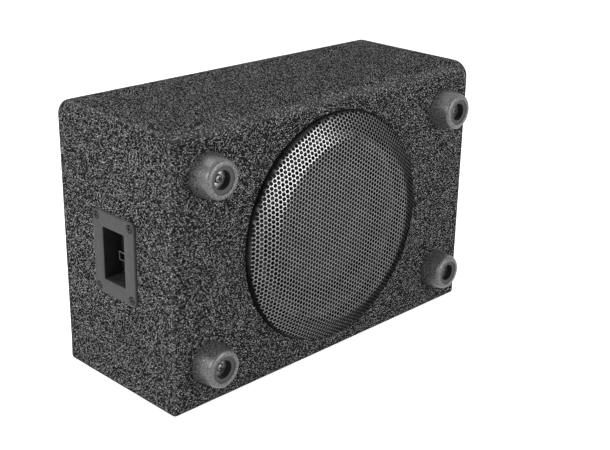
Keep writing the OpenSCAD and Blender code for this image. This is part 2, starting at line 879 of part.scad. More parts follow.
module amplifier_case() {
    color([0.55, 0.56, 0.58]) difference() {
        union() {
            on_cup() translate([0, 0, case_end]) linear_extrude(case_l) difference() {
                square([case_h, case_w], center = true);
                square([mouth_h, mouth_w], center = true);
            }
            at_bosses() translate([0, 0, panel_in - boss_l]) cylinder(h = boss_l, r = boss_r);
            for (x = [-1, 1], y = [-1, 1]) on_cup()
                translate([x * (mouth_h / 2 - 1.6), y * (mouth_w / 2 - 1.6), panel_in - boss_l / 2])
                    cube([4, 4, boss_l], center = true);
        }
        at_bosses() translate([0, 0, panel_in - boss_l - over])
            cylinder(h = boss_l + 2 * over, r = case_shank + fit);
    }
}

module amplifier_case_screws() {
    color([0.7, 0.7, 0.72]) at_bosses() translate([0, 0, panel_out])
        pan_screw(case_head, case_shank, panel_t + boss_l - 2);
}

module amplifier_end_cap() {
    lip = 5;
    color([0.5, 0.51, 0.53]) on_cup() difference() {
        union() {
            translate([0, 0, case_end - case_t / 2]) cube([case_h, case_w, case_t], center = true);
            translate([0, 0, case_end + lip / 2 - over / 2])
                cube([mouth_h - 2 * slide_fit, mouth_w - 2 * slide_fit, lip + over], center = true);
        }
        for (side = [-1, 1]) translate([side * lead_spread - cup_shift_z, 0, case_end - case_t - over])
            cylinder(h = lip + case_t + 2 * over, r = lead_r + run);
    }
}

module amplifier_board() {
    low = case_end + board_end_gap;
    high = control_top - circuit_t - slide_fit;
    color([0.1, 0.3, 0.16]) on_cup()
        block(
            [-mouth_h / 2 + slide_fit, board_at, low],
            [mouth_h / 2 - slide_fit, board_at + circuit_t, high]
        );
}

module supply_capacitors() {
    color([0.15, 0.17, 0.3]) on_cup() for (i = [-1:1])
        translate([i * can_pitch, board_at, panel_in - boss_l - can_gap]) rotate([90, 0, 0])
            cylinder(h = can_l, r = can_r);
}

module output_inductors() {
    color([0.7, 0.42, 0.2]) on_cup() for (side = [-1, 1])
        translate([side * coil_spread, board_at - coil_wire_r, case_end + 2 * board_end_gap + coil_form_r])
            rotate([90, 0, 0]) rotate_extrude() translate([coil_form_r, 0]) circle(r = coil_wire_r, $fn = 24);
}

module power_transistors() {
    color([0.1, 0.1, 0.1]) on_cup() for (i = [-1:1])
        translate([
            i * can_pitch - transistor[0] / 2,
            board_at - transistor[1],
            case_end + case_l / 2 - transistor_shift
        ]) cube(transistor);
}

// Rings of a round tube along a route, each square to the way the route runs there
function along(route, i) =
    let (ahead = route[min(i + 1, len(route) - 1)], behind = route[max(i - 1, 0)])
    (ahead - behind) / norm(ahead - behind);

function ring_at(route, i) =
    let (t = along(route, i), side = [-t[1], t[0], 0], up = [0, 0, 1])
    [for (k = [0:lead_sides - 1]) let (a = 360 * k / lead_sides)
        route[i] + lead_r * (cos(a) * side + sin(a) * up)];

module swept_lead(route) {
    n = lead_sides;
    last = len(route) - 1;
    points = [for (i = [0:last]) each ring_at(route, i)];
    walls = [for (i = [0:last - 1], k = [0:n - 1])
        let (a = i * n + k, b = i * n + (k + 1) % n) each [[a, b, b + n], [a, b + n, a + n]]];
    start = [for (k = [1:n - 2]) [0, k + 1, k]];
    finish = [for (k = [1:n - 2]) [last * n, last * n + k, last * n + k + 1]];
    polyhedron(concat(points), concat(walls, start, finish));
}

module speaker_leads() {
    color([0.55, 0.08, 0.07]) for (side = [-1, 1])
        translate([0, 0, axis_z + side * lead_spread]) swept_lead(lead_route);
}

felt_wrap();
felt_left_end();
felt_right_end();
front_baffle();
back_panel();
top_panel();
bottom_panel();
left_panel();
right_panel();
grille();
grille_ring();
grille_ring_screws();
driver_basket();
driver_gasket();
surround_trim_ring();
surround();
cone();
dust_cap();
voice_coil_former();
voice_coil();
spider();
top_plate();
magnet();
pole_yoke();
driver_terminals();
driver_screws();
foot_upper_left();
foot_upper_right();
foot_lower_left();
foot_lower_right();
foot_washers();
foot_screws();
terminal_cup();
cup_gasket();
cup_screws();
harness_socket();
socket_contacts();
level_knob();
crossover_knob();
level_potentiometer();
crossover_potentiometer();
phase_switch_slider();
phase_switch_housing();
control_board();
amplifier_case();
amplifier_case_screws();
amplifier_end_cap();
amplifier_board();
supply_capacitors();
output_inductors();
power_transistors();
speaker_leads();
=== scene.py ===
import math

import bmesh
import bpy
import numpy as np
from mathutils import Matrix, Quaternion, Vector, noise
from mathutils.geometry import delaunay_2d_cdt

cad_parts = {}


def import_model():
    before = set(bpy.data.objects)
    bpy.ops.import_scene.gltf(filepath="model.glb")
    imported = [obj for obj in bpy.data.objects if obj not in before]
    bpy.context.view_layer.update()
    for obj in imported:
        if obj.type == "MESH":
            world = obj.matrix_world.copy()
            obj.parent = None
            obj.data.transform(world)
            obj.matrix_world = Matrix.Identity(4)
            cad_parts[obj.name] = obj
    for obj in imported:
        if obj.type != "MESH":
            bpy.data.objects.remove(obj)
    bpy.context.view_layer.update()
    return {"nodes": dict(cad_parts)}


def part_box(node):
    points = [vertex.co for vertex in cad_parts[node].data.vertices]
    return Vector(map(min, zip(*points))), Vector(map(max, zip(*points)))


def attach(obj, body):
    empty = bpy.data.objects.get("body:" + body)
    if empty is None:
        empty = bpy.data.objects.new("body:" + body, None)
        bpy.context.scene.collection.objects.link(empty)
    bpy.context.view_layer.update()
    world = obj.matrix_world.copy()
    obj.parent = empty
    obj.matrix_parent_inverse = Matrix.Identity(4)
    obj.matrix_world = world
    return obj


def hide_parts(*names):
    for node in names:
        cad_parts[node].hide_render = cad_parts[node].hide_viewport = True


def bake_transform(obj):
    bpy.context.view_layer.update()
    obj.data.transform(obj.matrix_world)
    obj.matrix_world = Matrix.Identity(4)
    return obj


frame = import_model()

# A powered car subwoofer: felt, grille, feet, terminal cup and controls dressed round the frame.
# Sizes are in millimetres until a piece is placed, and MM turns them into metres.
MM = 0.001
NODES = frame["nodes"]
scene = bpy.context.scene


# Places on the frame

def box_mm(node):
    low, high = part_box(node)
    return np.array(low) / MM, np.array(high) / MM


left_low, left_high = box_mm("felt_left_end")
wrap_low, wrap_high = box_mm("felt_wrap")
grille_low, grille_high = box_mm("grille")
cup_low, cup_high = box_mm("terminal_cup")

BOX_L = -2 * left_low[0]
BOX_D = wrap_high[1] - wrap_low[1]
BOX_H = wrap_high[2] - wrap_low[2]
FELT_T = left_high[0] - left_low[0]
FELT_Y = grille_high[1]
GRILLE_R = (grille_high[0] - grille_low[0]) / 2
GRILLE_H = FELT_Y - grille_low[1]
AXIS_Z = (grille_low[2] + grille_high[2]) / 2
CUP_Y = (cup_low[1] + cup_high[1]) / 2
CUP_Z = (cup_low[2] + cup_high[2]) / 2

# What is drawn along +Z stands out of the front or the left end
ON_FRONT = Matrix(((1, 0, 0, 0), (0, 0, -1, FELT_Y * MM), (0, 1, 0, AXIS_Z * MM), (0, 0, 0, 1)))
ON_END = Matrix(((0, 0, -1, left_low[0] * MM), (0, 1, 0, CUP_Y * MM), (1, 0, 0, CUP_Z * MM), (0, 0, 0, 1)))
IN_PLACE = Matrix.Identity(4)


# Solids from rings of points

WELD, SLIVER = 0.002, 0.001


def circle(r, h, n, at=(0, 0), flutes=0, depth=0):
    """A ring of n points round a point, drawn in at its flutes."""
    a = np.arange(n) * 2 * math.pi / n
    radius = r - depth * (0.5 - 0.5 * np.cos(flutes * a))
    return np.stack([at[0] + radius * np.cos(a), at[1] + radius * np.sin(a), np.full(n, float(h))], 1)


def rectangle(half_x, half_y, r, h, at=(0, 0), arc=6):
    """A ring of points round a rectangle with round corners."""
    points = []
    for quarter, (sx, sy) in enumerate(((1, 1), (-1, 1), (-1, -1), (1, -1))):
        a = math.pi / 2 * (quarter + np.linspace(0, 1, arc))
        x = at[0] + sx * (half_x - r) + r * np.cos(a)
        y = at[1] + sy * (half_y - r) + r * np.sin(a)
        points.append(np.stack([x, y, np.full(arc, float(h))], 1))
    return np.concatenate(points)


def rounded(corners, arc):
    """Points along a line of (x, y, reach) corners, each rounded over its reach to either side."""
    points = []
    n = len(corners)
    for i, (x, y, reach) in enumerate(corners):
        corner = np.array([x, y], float)
        if reach == 0:
            points.append(corner)
            continue
        before = np.array(corners[i - 1][:2], float) - corner
        after = np.array(corners[(i + 1) % n][:2], float) - corner
        start = corner + before / np.linalg.norm(before) * reach
        end = corner + after / np.linalg.norm(after) * reach
        for t in np.linspace(0, 1, arc):
            points.append((1 - t) ** 2 * start + 2 * t * (1 - t) * corner + t * t * end)
    return np.array(points)


class Solid:
    """Points and faces in millimetres, which become one piece or one cutter."""

    def __init__(self):
        self.points = []
        self.faces = []

    def loft(self, rings, closed=False, caps=True):
        """Joins rings of equally many points.

        A closed loft joins the last ring to the first. Any other may have caps.
        """
        base, n = len(self.points), len(rings[0])
        for ring in rings:
            self.points.extend(ring)
        count = len(rings)
        for i in range(count if closed else count - 1):
            a, b = base + i * n, base + (i + 1) % count * n
            for k in range(n):
                m = (k + 1) % n
                self.faces.append((a + k, a + m, b + m, b + k))
        if caps and not closed:
            self.faces.append(tuple(range(base + n - 1, base - 1, -1)))
            self.faces.append(tuple(range(base + (count - 1) * n, base + count * n)))
        return self

    def lathe(self, profile, n, at=(0, 0), closed=False):
        """Turns a profile of (radius, height) points round an axis."""
        return self.loft([circle(r, h, n, at) for r, h in profile], closed, caps=False)

    def cylinder(self, r, low, high, n, at=(0, 0)):
        return self.lathe([(0, low), (r, low), (r, high), (0, high)], n, at)

    def block(self, low, high, edge=0.2):
        """A block with round upright edges and bevelled ends."""
        low, high = np.array(low, float), np.array(high, float)
        at, half = (low + high) / 2, (high - low) / 2
        ends = [(low[2], edge), (low[2] + edge, 0), (high[2] - edge, 0), (high[2], edge)]
        rings = [rectangle(half[0] - e, half[1] - e, edge, h, at[:2], 4) for h, e in ends]
        return self.loft(rings)

    def mesh(self, name, place):
        data = bpy.data.meshes.new(name)
        data.from_pydata([Vector(p) * MM for p in self.points], [], self.faces)
        data.transform(place)
        shape = bmesh.new()
        shape.from_mesh(data)
        bmesh.ops.remove_doubles(shape, verts=shape.verts, dist=WELD * MM)
        bmesh.ops.recalc_face_normals(shape, faces=shape.faces)
        shape.to_mesh(data)
        shape.free()
        return data

    def piece(self, name, material, place=IN_PLACE, sharp=35):
        data = self.mesh(name, place)
        data.materials.append(material)
        obj = bpy.data.objects.new(name, data)
        scene.collection.objects.link(obj)
        smooth(obj, sharp)
        return obj


def smooth(obj, sharp):
    """Shades a piece smooth between its edges that are sharper than an angle in degrees."""
    data = obj.data
    data.polygons.foreach_set("use_smooth", [True] * len(data.polygons))
    data.set_sharp_from_angle(angle=math.radians(sharp))


def cut(obj, cutter, place, sharp=35):
    """Takes a solid out of a piece."""
    data = cutter.mesh(obj.name + "_cut", place)
    tool = bpy.data.objects.new(data.name, data)
    scene.collection.objects.link(tool)
    change = obj.modifiers.new("cut", "BOOLEAN")
    change.operation, change.solver, change.object = "DIFFERENCE", "EXACT", tool
    seen = obj.evaluated_get(bpy.context.evaluated_depsgraph_get())
    result = bpy.data.meshes.new_from_object(seen)
    shape = bmesh.new()
    shape.from_mesh(result)
    bmesh.ops.dissolve_degenerate(shape, dist=SLIVER * MM, edges=shape.edges)
    shape.to_mesh(result)
    shape.free()
    obj.modifiers.clear()
    obj.data = result
    bpy.data.objects.remove(tool)
    smooth(obj, sharp)


def stand_for(obj, node, body="root"):
    """The piece takes the place of a node of the frame and rides on its body."""
    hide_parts(node)
    if body:
        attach(obj, body)


# Materials

class Shader:
    """A material whose nodes are added one by one, in object coordinates in metres."""

    def __init__(self, name, specular, roughness=0.5, metallic=0.0):
        self.material = bpy.data.materials.new(name)
        self.material.use_nodes = True
        self.tree = self.material.node_tree
        self.surface = self.tree.nodes["Principled BSDF"]
        self.set("Roughness", roughness)
        self.set("Metallic", metallic)
        self.set("Specular IOR Level", specular)
        where = self.tree.nodes.new("ShaderNodeTexCoord").outputs
        self.place, self.normal = where["Object"], where["Normal"]

    def put(self, socket, value):
        if isinstance(value, bpy.types.NodeSocket):
            self.tree.links.new(value, socket)
        else:
            socket.default_value = value

    def set(self, name, value):
        self.put(self.surface.inputs[name], value)

    def node(self, kind, inputs, **settings):
        made = self.tree.nodes.new("ShaderNode" + kind)
        for key, value in settings.items():
            setattr(made, key, value)
        for key, value in inputs.items():
            self.put(made.inputs[key], value)
        return made

    def math(self, operation, a, b=0.0):
        return self.node("Math", {0: a, 1: b}, operation=operation).outputs[0]

    def vector(self, operation, a, b=(0, 0, 0), output="Vector"):
        return self.node("VectorMath", {0: a, 1: b}, operation=operation).outputs[output]

    def noise(self, scale, detail, place=None):
        inputs = {"Vector": place or self.place, "Scale": scale, "Detail": detail}
        return self.node("TexNoise", inputs).outputs["Fac"]

    def span(self, value, low, high, to_low=0.0, to_high=1.0):
        inputs = {"Value": value, "From Min": low, "From Max": high, "To Min": to_low, "To Max": to_high}
        return self.node("MapRange", inputs, interpolation_type="SMOOTHSTEP").outputs[0]

    def painted_sheen_edges(self):
        """1 where the surface turns from one side of the box to another, where the felt gets painted sheen.
        """
        sides = self.node("SeparateXYZ", {0: self.vector("ABSOLUTE", self.normal)}).outputs
        widest = self.math("MAXIMUM", self.math("MAXIMUM", sides[0], sides[1]), sides[2])
        return self.span(widest, 0.78, 0.98, 1.0, 0.0)

    def fibres(self, count, width, offset):
        """A straight fibre in each cell of the space, lying in the surface, and how pale each one is."""
        place = self.vector("ADD", self.place, offset)
        cell = self.node("TexVoronoi", {"Vector": place, "Scale": count}).outputs
        away = self.vector("SUBTRACT", place, cell["Position"])
        way = self.vector("SUBTRACT", cell["Color"], (0.5, 0.5, 0.5))
        across = self.vector("NORMALIZE", self.vector("CROSS_PRODUCT", self.normal, way))
        aside = self.math("ABSOLUTE", self.vector("DOT_PRODUCT", away, across, "Value"))
        thread = self.span(aside, 0.6 * width, width, 1.0, 0.0)
        ends = self.span(cell["Distance"], 0.45, 0.6, 1.0, 0.0)
        pale = self.span(self.vector("DOT_PRODUCT", cell["Color"], (0.6, 0.4, 0.0), "Value"), 0.725, 0.79)
        return self.math("MULTIPLY", thread, ends), pale

    def mix(self, share, a, b):
        made = self.node("Mix", {0: share}, data_type="RGBA")
        for socket, value in ((made.inputs[6], a), (made.inputs[7], b)):
            self.put(socket, value if isinstance(value, bpy.types.NodeSocket) else (*value, 1))
        return made.outputs[2]

    def bump(self, height, strength, distance):
        made = self.node("Bump", {"Height": height, "Strength": strength, "Distance": distance})
        self.set("Normal", made.outputs[0])


def grey(level):
    return (level, level, level)


def felt_material():
    """Charcoal needle felt: a dark mottled ground under short pale fibres that lie every way, with painted
    sheen as a paler tone on the rounded edges.
    """
    layers = (
        # cells a metre, half width of the fibre in metres, offset of the cells
        (460, 0.00018, 0.0),
        (570, 0.00017, 3.1),
        (700, 0.00015, 7.7),
        (860, 0.00014, 5.3),
        (1050, 0.00013, 9.4),
    )
    s = Shader("felt", roughness=1.0, specular=0.03)
    grain = s.span(s.noise(680, 1.0), 0.4, 0.62)
    shade = s.mix(grain, grey(0.001), grey(0.04))
    relief = grain
    for count, width, offset in layers:
        fibre, pale = s.fibres(count, width, (offset, -1.3 * offset, 0.7 * offset))
        shade = s.mix(fibre, shade, s.mix(pale, grey(0.012), grey(1.0)))
        relief = s.math("MAXIMUM", relief, fibre)
    # The rounded edges are mixed towards pale grey: painted sheen.
    s.set("Base Color", s.mix(s.math("MULTIPLY", s.painted_sheen_edges(), 0.12), shade, grey(0.3)))
    s.bump(relief, 0.5, 0.0005)
    return s.material


def grained(name, colour, spread, grain, roughness, rough_spread, metallic=0.0,
            bump=0.15, depth=0.0002, stretch=None, specular=0.5, speckled=False, edge_tint=1.0):
    """A plain finish with its own grain: mottled colour, uneven gloss and a fine relief.

    The spread is a share of the colour, the grain counts waves a metre, and the depth is in metres.
    """
    s = Shader(name, metallic=metallic, specular=specular)
    s.set("Specular Tint", (*grey(edge_tint), 1))
    place = s.vector("MULTIPLY", s.place, stretch) if stretch else None
    fine = s.noise(grain, 3.0, place)
    broad = s.noise(grain / 14, 2.0, place)
    dark = tuple(c * (1 - spread) for c in colour)
    light = tuple(min(1.0, c * (1 + spread)) for c in colour)
    s.set("Base Color", s.mix(s.span(fine if speckled else broad, 0.35, 0.65), dark, light))
    s.set("Roughness", s.span(fine, 0.3, 0.7, roughness - rough_spread, roughness + rough_spread))
    s.bump(fine, bump, depth)
    return s.material


FELT = felt_material()
# name, colour, its spread, grain, roughness, its spread, metallic, bump, depth
GRILLE_STEEL = grained("grille_steel", grey(0.23), 0.1, 1500, 0.3, 0.05, 1.0, 0.1, 0.0001, edge_tint=0.12)
# A darker copy of the grille steel for the short wall: painted shade.
GRILLE_WALL_SHADE = grained("grille_wall_painted_shade", grey(0.05), 0.1, 1500, 0.35, 0.05, 1.0, 0.1, 0.0001)
# Near black for the hole walls, the rim and the back of the sheet: painted shade.
GRILLE_SHADED_EDGE = grained("grille_edge_painted_shade", grey(0.004), 0.2, 1500, 0.6, 0.06, 0.0, 0.15, 0.0001, specular=0.05)
FOOT_RUBBER = grained("foot_rubber", grey(0.074), 0.65, 700, 0.3, 0.1, 0.0, 0.8, 0.0003, specular=0.9,
                      speckled=True)
# Darker rubber for the recessed step ring of the foot: painted shade.
FOOT_STEP_SHADE = grained("foot_step_painted_shade", grey(0.026), 0.4, 800, 0.5, 0.1, 0.0, 0.4, speckled=True)
# Near-black rubber for the inside of the foot's bore: painted shade.
FOOT_BORE_SHADE = grained("foot_bore_painted_shade", grey(0.01), 0.3, 900, 0.6, 0.08, 0.0, 0.3, specular=0.15)
CUP_PLASTIC = grained("cup_plastic", grey(0.056), 0.08, 2200, 0.55, 0.07, 0.0, 0.3, 0.00012, specular=0.3)
# Near black for the walls and panel inside the cup's recess: painted shade.
RECESS_SHADE = grained("recess_painted_shade", grey(0.012), 0.2, 1800, 0.6, 0.08, 0.0, 0.2, specular=0.15)
# For the upward faces of the recess: painted shade, lighter than the walls as painted light from above.
RECESS_FLOOR_SHADE = grained("recess_floor_painted_shade", grey(0.03), 0.2, 1800, 0.6, 0.08, 0.0, 0.2, specular=0.15)
BLACK_PLASTIC = grained("black_plastic", grey(0.008), 0.2, 1800, 0.45, 0.08, 0.0, 0.15, specular=0.15)
# Pale grey on the black socket's lip chamfers: painted highlight.
SOCKET_LIP_HIGHLIGHT = grained("socket_lip_painted_highlight", grey(0.4), 0.1, 1500, 0.4, 0.06)
KNOB_PLASTIC = grained("knob_plastic", grey(0.045), 0.15, 1800, 0.4, 0.06, 0.0, 0.15)
POINTER_PAINT = grained("pointer_paint", grey(0.7), 0.05, 1500, 0.5, 0.05)
SCREW_BLACK = grained("screw_black", grey(0.04), 0.2, 1600, 0.2, 0.06, 1.0, 0.1)
DARK_STEEL = grained("dark_steel", grey(0.16), 0.15, 1200, 0.32, 0.08, 1.0, 0.1)
ZINC = grained("zinc", (0.58, 0.58, 0.6), 0.08, 1200, 0.3, 0.08, 1.0, 0.08)
BOARD = grained("fibreboard", (0.42, 0.31, 0.2), 0.12, 700, 0.85, 0.05, 0.0, 0.3)
BASKET = grained("basket_paint", grey(0.04), 0.12, 1200, 0.5, 0.06, 0.0, 0.15, specular=0.2)
STAINED_BOARD = grained("stained_board", grey(0.007), 0.3, 700, 0.85, 0.05, 0.0, 0.3, specular=0.1)
FOAM = grained("foam", grey(0.03), 0.3, 1500, 0.95, 0.03, 0.0, 0.6, 0.0004)
RUBBER = grained("surround_rubber", grey(0.007), 0.15, 900, 0.55, 0.06, 0.0, 0.1, specular=0.12)
CONE = grained("cone_fibre", grey(0.03), 0.08, 800, 0.75, 0.08, 0.0, 0.5, 0.0003, specular=0.15)
ALUMINIUM = grained("aluminium", (0.6, 0.6, 0.62), 0.06, 1500, 0.38, 0.08, 1.0, 0.1, stretch=(0.05, 1, 1))
COPPER = grained("copper", (0.62, 0.28, 0.12), 0.1, 1500, 0.35, 0.06, 1.0, 0.4, stretch=(0.2, 1, 1))
SPIDER = grained("spider_cloth", (0.55, 0.4, 0.15), 0.15, 1600, 0.9, 0.05, 0.0, 0.6, 0.0003)
FERRITE = grained("ferrite", grey(0.045), 0.25, 600, 0.65, 0.1, 0.0, 0.4, 0.0003)
BRASS = grained("brass", (0.75, 0.58, 0.3), 0.08, 1500, 0.3, 0.08, 1.0, 0.08)
POT_PLASTIC = grained("pot_plastic", (0.05, 0.12, 0.09), 0.12, 1200, 0.5, 0.06)
SLIDER_PLASTIC = grained("slider_plastic", grey(0.62), 0.05, 1500, 0.45, 0.06)
BOARD_MASK = grained("solder_mask", (0.02, 0.13, 0.05), 0.25, 500, 0.35, 0.06, 0.0, 0.2)
SLEEVE = grained("capacitor_sleeve", (0.03, 0.04, 0.11), 0.1, 900, 0.3, 0.05)
CHIP_PLASTIC = grained("transistor_plastic", grey(0.025), 0.15, 1500, 0.6, 0.06, 0.0, 0.3)
LEAD = grained("lead_insulation", (0.34, 0.03, 0.02), 0.12, 1200, 0.45, 0.06)


# Felt covering

FELT_GRID = 7
TOP_R, BASE_R = 18, 4
UPRIGHT_R, TOP_END_R, BASE_END_R = 5, 7, 3.4
BASE_BLEND = 30
ROUND_STEPS = 7
FELT_WAVE, WAVE_SPAN = 0.25, 23
SEAM_DIP = 0.15
INNER_RINGS = 5
END_RINGS, END_INNER_RINGS = 24, 16
FIRST_BEND, LAST_FACE = 0.15, 0.02
FELT_HOLE_R, FELT_CUT = GRILLE_R - 4, 20
CUP_OPENING = (68.6, 46.6)


def felt_outline():
    """Points and outward normals round the box, in the YZ plane."""
    half = BOX_D / 2
    corners = (
        (half - TOP_R, BOX_H - TOP_R, TOP_R, 0), (-half + TOP_R, BOX_H - TOP_R, TOP_R, 1),
        (-half + BASE_R, BASE_R, BASE_R, 2), (half - BASE_R, BASE_R, BASE_R, 3),
    )
    points, normals = [], []
    for i, (y, z, r, quarter) in enumerate(corners):
        for a in math.pi / 2 * (quarter + np.linspace(0, 1, ROUND_STEPS + 1)):
            out = np.array([math.cos(a), math.sin(a)])
            points.append(np.array([y, z]) + r * out)
            normals.append(out)
        next_y, next_z, next_r = corners[(i + 1) % 4][:3]
        end = np.array([next_y, next_z]) + next_r * out
        steps = int(np.linalg.norm(end - points[-1]) / FELT_GRID)
        first = points[-1]
        for t in np.arange(1, steps) / steps:
            points.append(first + (end - first) * t)
            normals.append(out)
    return np.array(points), np.array(normals)


OUTLINE, OUTWARD = felt_outline()
near_base = np.clip(1 - OUTLINE[:, 1] / BASE_BLEND, 0, 1)
on_top = np.maximum(OUTWARD[:, 1], 0) ** 2
END_R = UPRIGHT_R + (TOP_END_R - UPRIGHT_R) * on_top + (BASE_END_R - UPRIGHT_R) * near_base
MIDDLE = np.array([0, BOX_H / 2])


def unevenness(points):
    """How far glued cloth lies below its ideal surface at each point."""
    return np.array([FELT_WAVE * (0.5 + 0.5 * noise.noise(Vector(p) / WAVE_SPAN)) for p in points])


def felt_ring(x, inset, side=1):
    """The outline at a distance along the box, drawn in, with the small unevenness of glued cloth."""
    x = np.broadcast_to(x, len(OUTLINE))
    ring = OUTLINE - OUTWARD * np.broadcast_to(inset, len(OUTLINE))[:, None]
    points = np.column_stack([side * x, ring])
    points[:, 1:] -= OUTWARD * unevenness(points)[:, None]
    return points


SEAM_X = BOX_L / 2 - FELT_T
SEAM_INSET = END_R - np.sqrt(END_R**2 - (END_R - FELT_T) ** 2)


def felt_wrap():
    straight = BOX_L / 2 - TOP_END_R
    stations = np.linspace(-straight, straight, int(2 * straight / FELT_GRID))
    outer = [felt_ring(x, 0) for x in stations]
    bends = []
    for t in np.linspace(FIRST_BEND, 1, ROUND_STEPS):
        x = straight + (SEAM_X - straight) * t
        reach = np.maximum(x - (BOX_L / 2 - END_R), 0)
        bends.append((x, END_R - np.sqrt(END_R**2 - reach**2) + (SEAM_DIP if t == 1 else 0)))
    rings = [felt_ring(x, inset, -1) for x, inset in reversed(bends)] + outer
    rings += [felt_ring(x, inset) for x, inset in bends]
    inner = OUTLINE - OUTWARD * min(FELT_T, BASE_R)
    for x in np.linspace(SEAM_X, -SEAM_X, INNER_RINGS):
        rings.append(np.column_stack([np.full(len(inner), x), inner]))
    obj = Solid().loft(rings, closed=True).piece("felt_wrap_cover", FELT, sharp=50)
    hole = Solid().cylinder(FELT_HOLE_R, -FELT_CUT, FELT_CUT, 160)
    cut(obj, hole, ON_FRONT, 50)
    return obj


def felt_end(side, name, hole, open_hole):
    """An end piece, from the seam round the edge of the end and in to a hole or a last small face."""
    def towards_hole(ring, x, share):
        points = np.array(ring)
        points[:, 1:] += (hole - points[:, 1:]) * share
        points[:, 0] = side * x
        return points

    seam = felt_ring(SEAM_X, SEAM_INSET + SEAM_DIP, side)
    rings = [towards_hole(seam, SEAM_X, t) for t in np.linspace(1, LAST_FACE, END_INNER_RINGS)] + [seam]
    first = np.arcsin((END_R - FELT_T) / END_R)
    for t in np.linspace(0, 1, ROUND_STEPS + 1)[1:]:
        a = first + (math.pi / 2 - first) * t
        rings.append(felt_ring(BOX_L / 2 - END_R * (1 - np.sin(a)), END_R * (1 - np.cos(a)), side))
    rim = rings[-1]
    for t in np.linspace(LAST_FACE, 1, END_RINGS):
        ring = towards_hole(rim, BOX_L / 2, t)
        ring[:, 0] -= side * unevenness(ring)
        rings.append(ring)
    return Solid().loft(rings, closed=open_hole).piece(name, FELT, sharp=50)


def cup_opening():
    """The point of the cup's opening that lies under each point of the outline."""
    middle = np.array([CUP_Y, CUP_Z])
    way = OUTLINE - middle
    half = np.array(CUP_OPENING[::-1]) / 2
    share = np.min(half / np.maximum(abs(way), 0.001), axis=1)
    return middle + way * share[:, None]


def felt():
    wrap = felt_wrap()
    stand_for(wrap, "felt_wrap")
    hole = math.pi * FELT_HOLE_R**2
    last_face = MIDDLE + (OUTLINE - MIDDLE) * LAST_FACE
    ends = (
        (-1, "felt_left_end", "left_panel", cup_opening(), CUP_OPENING[0] * CUP_OPENING[1]),
        (1, "felt_right_end", "right_panel", last_face, 0),
    )
    for side, node, board, hole, missing in ends:
        end = felt_end(side, node + "_cover", hole, missing > 0)
        stand_for(end, node)


# Grille

HOLE_PITCH = 4.8
HOLE_R = 2.2
HOLE_SIDES = 10
LATTICE_TURN = math.radians(27.5)
HOLE_MARGIN = 0.7
SHEET_T = 1.0
SHOULDER_R, SHOULDER_ROUND = 99, 4
WALL_R, WALL_H, WALL_ROUND = GRILLE_R - 1, 6, 3.4
EDGE_H = 2.2
RIM_SIDES = 240
SLOPE_STEP = 0.4
SHEET_LINE = rounded([
    (0, GRILLE_H, 0), (SHOULDER_R, GRILLE_H, SHOULDER_ROUND),
    (WALL_R, WALL_H, WALL_ROUND), (WALL_R, EDGE_H, 0),
], 9)
ALONG = np.concatenate([[0], np.cumsum(np.linalg.norm(np.diff(SHEET_LINE, axis=0), axis=1))])
SHEET_R = ALONG[-1]
RIM = (
    # radius, height above the felt
    (WALL_R, EDGE_H), (WALL_R, 1.3), (WALL_R + 0.3, 1), (GRILLE_R - 0.3, 1), (GRILLE_R, 0.7),
    (GRILLE_R, 0), (WALL_R - 2, 0), (WALL_R - 2, 0.8), (WALL_R - SHEET_T, 1), (WALL_R - SHEET_T, EDGE_H),
)


def on_line(along):
    """Radius and height at distances along the sheet from its middle."""
    return np.interp(along, ALONG, SHEET_LINE[:, 0]), np.interp(along, ALONG, SHEET_LINE[:, 1])


def on_sheet(flat, drop):
    """Maps points of the flat sheet on the drawn one, keeping their distance along it."""
    along = np.linalg.norm(flat, axis=1)
    r, h = on_line(along)
    r_before, h_before = on_line(along - SLOPE_STEP)
    r_after, h_after = on_line(along + SLOPE_STEP)
    run, rise = r_after - r_before, h_after - h_before
    size = np.hypot(run, rise)
    r, h = r + drop * rise / size, h - drop * run / size
    unit = flat / np.maximum(along, 1e-9)[:, None]
    return np.column_stack([unit * r[:, None], h])


def perforated_sheet():
    """Points, edges and triangles of the flat sheet: its border, then a ring for each hole."""
    row = HOLE_PITCH * math.sqrt(3) / 2
    count = int(SHEET_R / row) + 1
    cos, sin = math.cos(LATTICE_TURN), math.sin(LATTICE_TURN)
    turn = np.array([[cos, sin], [-sin, cos]])
    centres = np.array([
        ((i + (j % 2) / 2) * HOLE_PITCH, j * row)
        for j in range(-count, count + 1) for i in range(-count, count + 1)
    ]) @ turn
    centres = centres[np.linalg.norm(centres, axis=1) < SHEET_R - HOLE_R - HOLE_MARGIN]
    ring = circle(HOLE_R, 0, HOLE_SIDES)[:, :2]
    holes = (centres[:, None] + ring[None]).reshape(-1, 2)
    border = circle(SHEET_R, 0, RIM_SIDES)[:, :2]
    flat = np.concatenate([border, holes])
    owner = np.concatenate([np.full(RIM_SIDES, -1), np.repeat(np.arange(len(centres)), HOLE_SIDES)])
    edges = [(i, (i + 1) % RIM_SIDES) for i in range(RIM_SIDES)]
    for first in range(RIM_SIDES, len(flat), HOLE_SIDES):
        edges += [(first + i, first + (i + 1) % HOLE_SIDES) for i in range(HOLE_SIDES)]
    triangles = np.array(delaunay_2d_cdt([Vector(p) for p in flat], edges, [], 0, 1e-5)[2])
    owners = owner[triangles]
    in_one_hole = (owners == owners[:, :1]).all(1) & (owners[:, 0] >= 0)
    return flat, edges, triangles[~in_one_hole]


